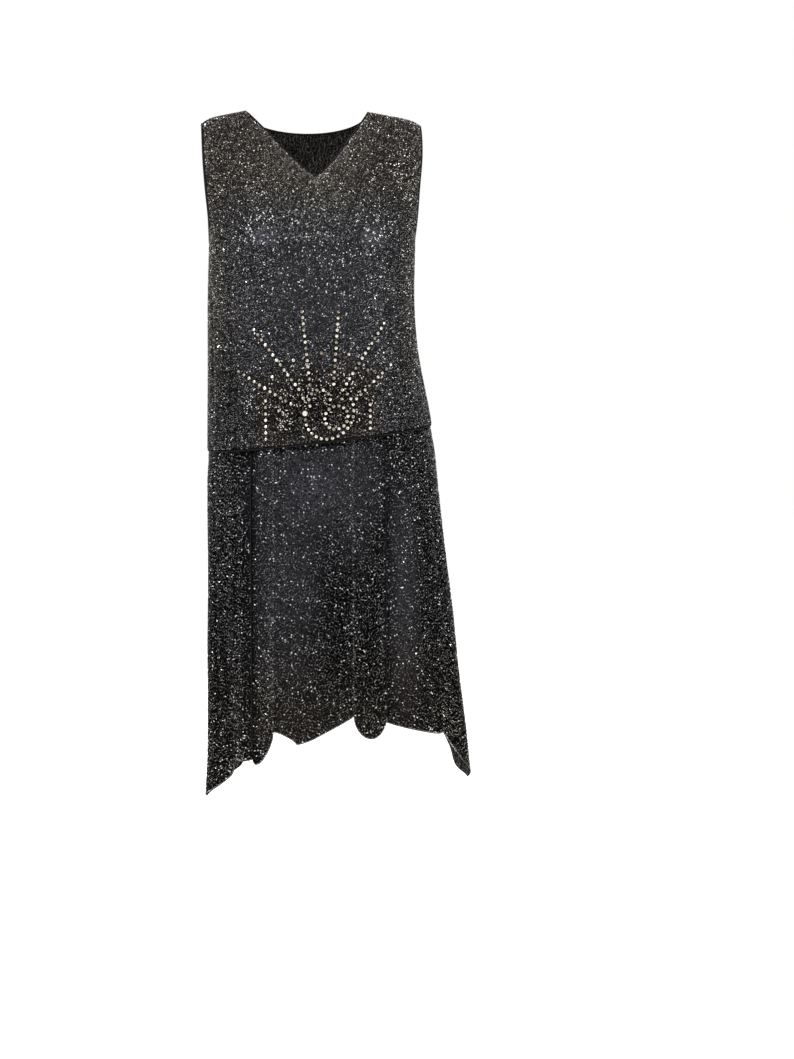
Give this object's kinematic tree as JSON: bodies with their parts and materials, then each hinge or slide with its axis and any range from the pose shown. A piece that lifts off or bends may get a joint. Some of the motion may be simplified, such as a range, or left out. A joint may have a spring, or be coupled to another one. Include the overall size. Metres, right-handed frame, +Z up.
{
  "type": "beaded evening dress",
  "caption": "Sleeveless low-waisted beaded dress with a V neck, a fan of set stones at the hip and a scalloped hem with long side points.",
  "frame": {"origin": "midway between the two neck points on top of the shoulders, where the wearer's shoulders hold the dress up", "axes": "+Z up along the hanging dress, the front faces -Y, the wearer's left is +X"},
  "size_m": [0.414, 0.3167, 1.0606],
  "materials": {
    "beaded_cloth": "sheer charcoal cloth under close glass beading",
    "binding": "black rolled binding",
    "stones": "clear cut stones in metal settings"
  },
  "bodies": {
    "root": {"front_bodice": "beaded_cloth", "back_bodice": "beaded_cloth", "front_skirt": "beaded_cloth", "back_skirt": "beaded_cloth", "side_panel_right": "beaded_cloth", "side_panel_left": "beaded_cloth", "neck_binding": "binding", "armhole_binding_right": "binding", "armhole_binding_left": "binding", "stone_ray_right_low": "stones", "stone_ray_right_high": "stones", "stone_ray_right_upright": "stones", "stone_ray_left_upright": "stones", "stone_ray_left_high": "stones", "stone_ray_left_low": "stones", "stone_ring": "stones", "stone_scroll": "stones", "stone_arch": "stones", "stone_column_right": "stones", "stone_column_left": "stones", "stone_large": "stones", "stone_between_right_low": "stones", "stone_between_right_high": "stones", "stone_between_uprights": "stones", "stone_between_left_high": "stones", "stone_between_left_low": "stones", "stone_by_arch_right": "stones", "stone_by_arch_left": "stones"}
  },
  "joints": []
}
